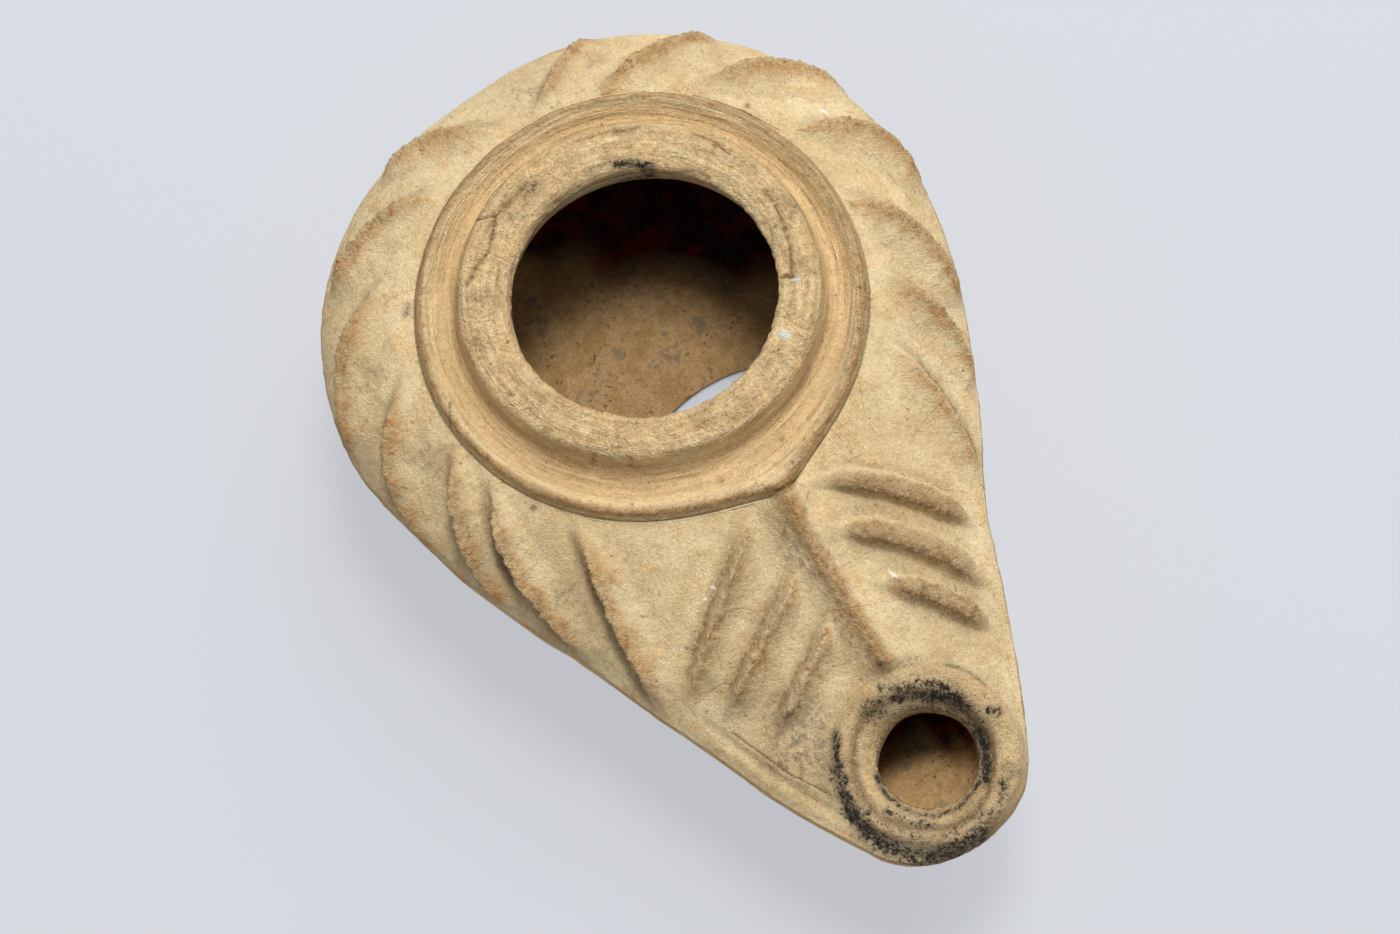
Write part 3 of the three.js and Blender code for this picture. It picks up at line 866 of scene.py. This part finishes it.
# Where the painted shadow starts inside the chamber and the nozzle: direction, and distance along
# it
CHAMBER_SHADE = np.array((0.577, 0.759, 0.323))
CHAMBER_SHADE_START = 12.3
NOZZLE_SHADE = np.array((0.479, 0.813, 0.331))
NOZZLE_SHADE_START = -36.1
NOZZLE_INSIDE = -28


def paint_clay(mesh):
    """Masks that the clay's finish reads: crests, hollows, soot, and a painted shadow over the
    inside's far part.
    """
    points, normals = threes(mesh.vertices, "co"), threes(mesh.vertex_normals, "vector")
    fine = ((points - softened(mesh, points, 10)) * normals).sum(axis=1)
    broad = ((points - softened(mesh, points, 60)) * normals).sum(axis=1)
    paint(mesh, "crest", np.clip(fine / 0.12, 0, 1) * 0.6 + np.clip(broad / 0.35, 0, 1) * 0.4)
    paint(mesh, "hollow", np.clip(-fine / 0.10, 0, 1) * 0.5 + np.clip(-broad / 0.3, 0, 1) * 0.5)
    inside = np.empty(len(points), np.float32)
    mesh.attributes["inside"].data.foreach_get("value", inside)
    upper_half = smooth(points[:, 2], JOINT_HEIGHT - 2.0, JOINT_HEIGHT + 0.5)
    paint(mesh, "soot", soot_density(points) * upper_half * (1 - inside))
    # Painted shadow: the inside beyond a plane is painted near-black red
    chamber = smooth(points @ CHAMBER_SHADE, CHAMBER_SHADE_START - 2.2, CHAMBER_SHADE_START + 0.8)
    nozzle = smooth(points @ NOZZLE_SHADE, NOZZLE_SHADE_START - 0.9, NOZZLE_SHADE_START + 0.7)
    paint(mesh, "burnt", np.where(points[:, 1] > NOZZLE_INSIDE, chamber, nozzle) * inside)


def clay_lamp():
    form = rolled_form(COLUMNS, int(STARTS[-1]))
    refined(form)
    angle, row = turned_places(form)
    move_points(form, drawn_out(angle, row))
    masks = carve_shoulder(form, row)
    age_surface(form, masks)
    for name, values in masks.items():
        layer = form.verts.layers.float.new(name)
        for vertex, value in zip(form.verts, values.tolist()):
            vertex[layer] = value
    piece = mesh_object(form, "clay_lamp")
    cut(piece, mesh_object(wick_cutter(), "wick_tool"))
    paint_clay(piece.data)
    return piece


def settle(piece):
    """Moves a finished mesh from millimetres at the hole's axis into the frame."""
    mesh = piece.data
    mesh.vertices.foreach_set("co", in_frame(threes(mesh.vertices, "co")).ravel())
    mesh.update()
    for polygon in mesh.polygons:
        polygon.use_smooth = True


# Plaster repair on the chamber's floor
PATCH_WIDTH = 26.0
PATCH_DEPTH = 20.0
PATCH_SETBACK = 14.0
PATCH_SHIFT = 4.1
PATCH_THICKNESS = 0.9
BEDDING_GAP = 0.3


def floor_height(x, y):
    """Height of the chamber's floor and lower wall over a place of the plan."""
    angle, radius = plan_angle(x, y)
    inner, outer = bowl_edges(angle)
    share = np.clip((radius - inner) / (outer - inner), 0, 1)
    rise = (1 - share ** BELLY_ROUNDNESS) ** (1 / BELLY_ROUNDNESS)
    return JOINT_HEIGHT + (FLOOR - JOINT_HEIGHT) * rise


def plaster_patch():
    """An oval smear with a rounded edge that follows the floor."""
    rings = 16
    form = rolled_form(72, 2 * rings)
    points = np.array([vertex.co for vertex in form.verts])
    bearing, row = np.arctan2(points[:, 1], points[:, 0]), points[:, 2]
    reach = 1 - np.abs(row / rings - 1)
    x = PATCH_SHIFT + reach * np.cos(bearing) * PATCH_WIDTH / 2
    y = -PATCH_SETBACK + reach * np.sin(bearing) * PATCH_DEPTH / 2
    crown = np.sqrt(np.clip(1 - reach ** 4, 0, 1)) * (row > rings)
    thickness = BEDDING_GAP * 0.4 + crown * (BEDDING_GAP * 0.6 + PATCH_THICKNESS)
    move_points(form, np.column_stack([x, y, floor_height(x, y) + thickness]))
    return mesh_object(form, "plaster_repair")


def fill(node, values):
    """Sets inputs of a shader's node to wires, numbers or colours."""
    for name, value in values.items():
        if isinstance(value, Wire):
            node.id_data.links.new(value.socket, node.inputs[name])
        else:
            node.inputs[name].default_value = value


class Wire:
    """One socket of a shader. Sums and products of wires add Math nodes; node() adds any other."""

    def __init__(self, socket):
        self.socket = socket

    def node(self, kind, settings=None, values=None, output=0):
        made = self.socket.id_data.nodes.new("ShaderNode" + kind)
        for name, value in (settings or {}).items():
            setattr(made, name, value)
        fill(made, values or {})
        return Wire(made.outputs[output])

    def maths(self, operation, *others):
        return self.node("Math", {"operation": operation}, dict(enumerate((self,) + others)))

    def __add__(self, other):
        return self.maths("ADD", other)

    __radd__ = __add__

    def __mul__(self, other):
        return self.maths("MULTIPLY", other)

    __rmul__ = __mul__

    def __sub__(self, other):
        return self.maths("SUBTRACT", other)

    def __rsub__(self, other):
        return (self * -1) + other

    def __pow__(self, other):
        return self.maths("POWER", other)

    def between(self, low, high):
        """Smooth rise from 0 at low to 1 at high."""
        return self.node("MapRange", {"interpolation_type": "SMOOTHSTEP"},
                         {"Value": self, "From Min": low, "From Max": high})

    def most(self, other):
        return self.maths("MAXIMUM", other)

    def least(self, other):
        return self.maths("MINIMUM", other)


def new_material(name):
    """A material with its Principled shader and its Object coordinates in millimetres."""
    material = bpy.data.materials.new(name)
    material.use_nodes = True
    shader = material.node_tree.nodes["Principled BSDF"]
    source = material.node_tree.nodes.new("ShaderNodeTexCoord")
    place = Wire(source.outputs["Object"])
    place = place.node("VectorMath", {"operation": "SCALE"}, {0: place, "Scale": 1000.0})
    return material, shader, place


def blotches(place, size, detail=3.0, roughness=0.55, distortion=0.0, shift=0.0):
    """Noise of a size in millimetres, about 0 to 1."""
    return place.node("TexNoise", {"noise_dimensions": "4D"}, {
        "Vector": place, "W": shift, "Scale": 1 / size, "Detail": detail,
        "Roughness": roughness, "Distortion": distortion})


def mixed(share, first, second):
    """A colour share of the way from first to second."""
    values = {"Factor": share}
    for index, colour in ((6, first), (7, second)):
        values[index] = colour if isinstance(colour, Wire) else (*colour, 1)
    return share.node("Mix", {"data_type": "RGBA"}, values, output=2)


def coated(colour, *coats):
    """A colour under coats, each with its share and its own colour."""
    for share, coat in coats:
        colour = mixed(share, colour, coat)
    return colour


def rough_surface(strength, height):
    """Normals of a surface whose height is in millimetres."""
    return height.node("Bump", None, {"Strength": strength, "Distance": 0.001, "Height": height})


def mask(place, name):
    return place.node("Attribute", {"attribute_name": name}, output=2)


# Colours of the clay and of what lies on it
CREAM = (0.65, 0.49, 0.265)
PALE_CREAM = (0.785, 0.645, 0.39)
TAN = (0.53, 0.36, 0.17)
OCHRE = (0.90, 0.63, 0.32)
HONEY = (0.76, 0.56, 0.295)
ORANGE = (0.46, 0.225, 0.07)
UMBER = (0.17, 0.09, 0.035)
GREY_BROWN = (0.23, 0.175, 0.11)
DUST = (0.48, 0.375, 0.23)
SOOT_BLACK = (0.018, 0.018, 0.02)
SMOKE = (0.10, 0.08, 0.06)
OILED = (0.46, 0.285, 0.115)
CHAMBER_TAN = (0.60, 0.385, 0.185)
SHADOW_RED = (0.14, 0.009, 0.004)
SHADOW_BLACK = (0.02, 0.004, 0.003)
LIME = (0.95, 0.89, 0.75)
RINGS_CENTRE = (0.0, -0.4)


def wheel_marks(place):
    """Fine lines round the filling hole, left by wiping the wet clay."""
    centre = HOLE_AXIS[:2] + RINGS_CENTRE
    across, along = (
        place.node("SeparateXYZ", None, {0: place}, output=axis) - float(centre[axis])
        for axis in range(2)
    )
    radius = (across * across + along * along) ** 0.5
    turned = place.node("CombineXYZ", None, {
        "X": radius * 2.2, "Y": across.maths("ARCTAN2", along) * 2.5, "Z": radius * 0.3})
    return turned.node("TexNoise", None, {
        "Vector": turned, "Scale": 1.0, "Detail": 3.0, "Roughness": 0.6})


def clay_patterns(place):
    """The clay's masks, and its patterns from broad clouds down to single grains."""
    patterns = {name: mask(place, name) for name in MASKS + ("crest", "hollow", "soot", "burnt")}
    patches = blotches(place, 2.6, 5.0, 0.62, 0.4, shift=2.0)
    seams = place.node("TexVoronoi", {"feature": "DISTANCE_TO_EDGE"}, {
        "Vector": place, "Scale": 0.11})
    patterns.update(
        clouds=blotches(place, 9.0, 4.0, 0.6, 0.6),
        patches=patches,
        specks=blotches(place, 0.9, 2.0, 0.5, shift=17.0),
        flecks=blotches(place, 0.7, 4.0, 0.7, shift=5.0),
        grains=blotches(place, 0.34, 3.0, 0.72, 0.3, shift=11.0),
        sand=blotches(place, 0.17, 2.0, 0.75, shift=8.0),
        wheel=wheel_marks(place),
        hairlines=(1 - seams.between(0.002, 0.008)) * patches.between(0.42, 0.6),
    )
    return SimpleNamespace(**patterns)


def fired_clay(clay):
    """Cream with ochre and tan mottling, and warmer on the rings."""
    return coated(
        CREAM,
        (clay.clouds.between(0.35, 0.68), PALE_CREAM),
        (clay.patches.between(0.47, 0.64) * 0.75, TAN),
        ((clay.clouds * 0.5 + clay.patches * 0.5).between(0.5, 0.62) * 0.5, OCHRE),
        (clay.warm * (0.35 + clay.wheel.between(0.3, 0.7) * 0.4), HONEY),
        (clay.grit * (0.35 + clay.patches.between(0.35, 0.6) * 0.6), OCHRE),
        (clay.grains.between(0.53, 0.66) * (0.15 + clay.grit * 0.6), PALE_CREAM),
    )


def used_clay(clay):
    """The fired clay with dust and painted shade in its hollows, rubbed crests, dirt and painted
    shade in recesses, grime with painted shade, a painted highlight, and fine cracks.
    """
    # Dust and painted shade in the hollows, less of it on the warm rings
    dust_and_shade = (clay.hollow * 0.9 + clay.clouds - 0.42).between(0.0, 0.6) * (1 - clay.warm * 0.75)
    rubbed = (clay.wear + clay.crest * 0.4 + clay.patches - 0.5).between(0.15, 0.95)
    rubbed = rubbed * (clay.flecks * 0.6 + clay.grains * 0.4).between(0.38, 0.58)
    sandy = (clay.grit * 0.7 + clay.wear * 0.8 + 0.25).least(1.0)
    speckled = (clay.grit * 0.45 + clay.wear * 0.75 + clay.hollow * 0.4 + 0.3).least(1.0)
    grimed_and_shaded = (clay.grime + clay.patches * 0.8 - 0.4).between(0.1, 0.75)
    grimed_and_shaded = grimed_and_shaded * clay.grime.between(0.0, 0.15) * clay.flecks.between(0.42, 0.62)
    return coated(
        fired_clay(clay),
        (dust_and_shade * clay.patches.between(0.3, 0.6) * 0.45, DUST),
        # Orange with painted shade in the rings' hollows
        (clay.warm * clay.hollow * 0.25, ORANGE),
        (rubbed * 0.85, ORANGE),
        (sandy * clay.sand.between(0.50, 0.68) * 0.6, TAN),
        (speckled * clay.flecks.between(0.56, 0.70) * 0.7, UMBER),
        # Grime and painted shade
        (grimed_and_shaded * 0.85, GREY_BROWN),
        # Painted highlight
        (clay.pale * (1 - clay.flecks.between(0.48, 0.64)) * 0.9, PALE_CREAM),
        (clay.grit * clay.warm * clay.wheel.between(0.50, 0.66) * 0.4, PALE_CREAM),
        (clay.specks.between(0.69, 0.74) * 0.6, UMBER),
        # Dirt and painted shade in the recesses
        (clay.dirt * clay.grains.between(0.34, 0.56) * 0.8, UMBER),
        (clay.hairlines * (0.3 - clay.warm * 0.25), UMBER),
    )


def oiled_clay(clay):
    """The inside: tan clay that took up oil, with a painted shadow in near-black red on the far
    walls.
    """
    return coated(
        OILED,
        (clay.patches.between(0.35, 0.65), CHAMBER_TAN),
        (clay.flecks.between(0.55, 0.66) * clay.clouds.between(0.35, 0.55), UMBER),
        (clay.patches.between(0.55, 0.63) * 0.7, GREY_BROWN),
        # Painted shadow over the inside's far walls
        (clay.burnt, mixed(clay.patches.between(0.38, 0.56), SHADOW_RED, SHADOW_BLACK)),
    )


def grain_tint(place, clay):
    """Light and dark of the single grains. The dark ones are warmer."""
    uneven = (clay.patches - 0.3).between(0.0, 0.45)
    mottle = 1 + (clay.sand - 0.5) * 1.1
    mottle = mottle + (clay.grains - 0.5) * (0.4 + uneven * 0.6 + clay.grit * 0.3)
    mottle = mottle + (clay.flecks - 0.5) * (0.75 + clay.grit * 0.8)
    mottle = mottle + (clay.wheel - 0.5) * clay.warm * 0.9
    mottle = mottle + (clay.patches - 0.5) * (0.4 + clay.grit * 0.7)
    shade = mottle.most(0.3)
    return place.node("CombineXYZ", None, {
        "X": (shade * 0.75 + 0.25).most(shade), "Y": shade, "Z": (shade * 1.3 - 0.3).least(shade)})


def clay_colour(place, clay):
    """Used clay outside and oiled clay inside, with lime spots, smoke and soot over it."""
    bare = mixed(clay.inside, used_clay(clay), oiled_clay(clay))
    grainy = place.node("VectorMath", {"operation": "MULTIPLY"}, {
        0: bare, 1: grain_tint(place, clay)})
    smoky = clay.soot.between(0.04, 0.8) * (0.3 + clay.patches.between(0.35, 0.6) * 0.4)
    broken = clay.grains * 0.45 + clay.sand * 0.2 + clay.flecks * 0.35
    sooted = (clay.soot * 0.30 + 0.30 - broken).between(-0.05, 0.05) * clay.soot.between(0.03, 0.2)
    return coated(grainy, (clay.lime, LIME), (smoky, SMOKE), (sooted * 0.95, SOOT_BLACK))


def clay_material():
    material, shader, place = new_material("fired_clay")
    clay = clay_patterns(place)
    colour = clay_colour(place, clay)
    rough = (clay.grit + clay.wear * 0.8).least(1.0)
    height = clay.sand * (rough * 0.2 + 0.16) + clay.grains * (rough * 0.4 + 0.18)
    height = height + clay.flecks * (rough * 0.45 + 0.18) + clay.patches * (0.25 + clay.grit * 0.5)
    height = height + clay.wheel * clay.warm * 0.45 - clay.hairlines * 0.04
    fill(shader, {
        "Base Color": colour, "Roughness": 0.86 + clay.sand * 0.1, "Specular IOR Level": 0.25,
        "Normal": rough_surface(1.0, height)})
    return material


def plaster_material():
    material, shader, place = new_material("plaster")
    clouds = blotches(place, 5.0)
    fine = blotches(place, 0.4, shift=3.0)
    colour = mixed(clouds.between(0.3, 0.7), (0.77, 0.83, 0.92), (0.70, 0.75, 0.81))
    fill(shader, {
        "Base Color": colour, "Roughness": 0.7 + fine * 0.15, "Specular IOR Level": 0.3,
        "Normal": rough_surface(0.5, fine * 0.04 + clouds * 0.1)})
    return material


def table_material():
    """A pale light table, which glows a little through its white top."""
    material, shader, place = new_material("pale_table")
    colour = mixed(blotches(place, 60.0), (0.17, 0.175, 0.183), (0.178, 0.182, 0.19))
    fill(shader, {
        "Base Color": colour, "Roughness": 0.9, "Specular IOR Level": 0.1,
        "Emission Color": (0.897, 0.925, 1.0, 1), "Emission Strength": 0.523})
    return material


def add_piece(piece, node, material):
    settle(piece)
    piece.data.materials.clear()
    piece.data.materials.append(material)
    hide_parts(node)
    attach(piece, "root")


def add_table():
    form = bmesh.new()
    bmesh.ops.create_grid(form, x_segments=2, y_segments=2, size=1.5)
    table = mesh_object(form, "table")
    table.data.materials.append(table_material())


# Lights, in metres and watts
SKY_COLOUR = (0.93, 0.96, 1.0, 1)
SKY_STRENGTH = 0.375
DAYLIGHT = (1.0, 0.985, 0.96)
LIGHT_DISTANCE = 0.9
LIT_PLACE = (0, -16, 20)


def add_light(name, azimuth, elevation, size, power):
    """A soft square light that faces the lamp. Azimuth turns from +X towards +Y."""
    lamp = bpy.data.lights.new(name, "AREA")
    lamp.size = size
    lamp.energy = power
    lamp.color = DAYLIGHT
    holder = new_object(name, lamp)
    a, e = radians(azimuth), radians(elevation)
    direction = Vector((cos(a) * cos(e), sin(a) * cos(e), sin(e)))
    holder.matrix_world = Matrix.Translation(
        Vector(in_frame(LIT_PLACE)) + direction * LIGHT_DISTANCE
    ) @ direction.to_track_quat("Z", "Y").to_matrix().to_4x4()


# Camera, found from the lamp's proportions in the photograph: it looks down on the lamp, turned
# to the left of the nozzle's axis and rolled. Degrees and millimetres
CAMERA_AZIMUTH = -16.896
CAMERA_ELEVATION = 70.163
CAMERA_ROLL = -12.814
CAMERA_DISTANCE = 383.181
CAMERA_TARGET = (-2.97, -16.96, 20.0)
CAMERA_LENS = 100.0


def add_camera():
    lens = bpy.data.cameras.new("camera")
    lens.lens = CAMERA_LENS
    lens.sensor_width = 36.0
    lens.clip_start = 0.01
    camera = new_object("camera", lens)
    a, e, r = radians(CAMERA_AZIMUTH), radians(CAMERA_ELEVATION), radians(CAMERA_ROLL)
    back = Vector((sin(a) * cos(e), -cos(a) * cos(e), sin(e)))
    level = Vector((cos(a), sin(a), 0))
    upright = back.cross(level)
    right = level * cos(r) + upright * sin(r)
    up = upright * cos(r) - level * sin(r)
    eye = Vector(in_frame(CAMERA_TARGET)) + back * CAMERA_DISTANCE / 1000
    camera.matrix_world = Matrix((right, up, back)).transposed().to_4x4()
    camera.matrix_world.translation = eye
    bpy.context.scene.camera = camera


def add_daylight():
    world = bpy.data.worlds.new("studio")
    world.use_nodes = True
    sky = world.node_tree.nodes["Background"]
    sky.inputs["Color"].default_value = SKY_COLOUR
    sky.inputs["Strength"].default_value = SKY_STRENGTH
    bpy.context.scene.world = world
    bpy.context.scene.view_settings.view_transform = "Standard"
    add_light("window", azimuth=36, elevation=45, size=0.7, power=4.7)
    add_light("overhead", azimuth=42, elevation=75, size=0.25, power=5.0)


add_piece(clay_lamp(), "lamp", clay_material())
add_piece(plaster_patch(), "plaster_patch", plaster_material())
add_table()
add_camera()
add_daylight()
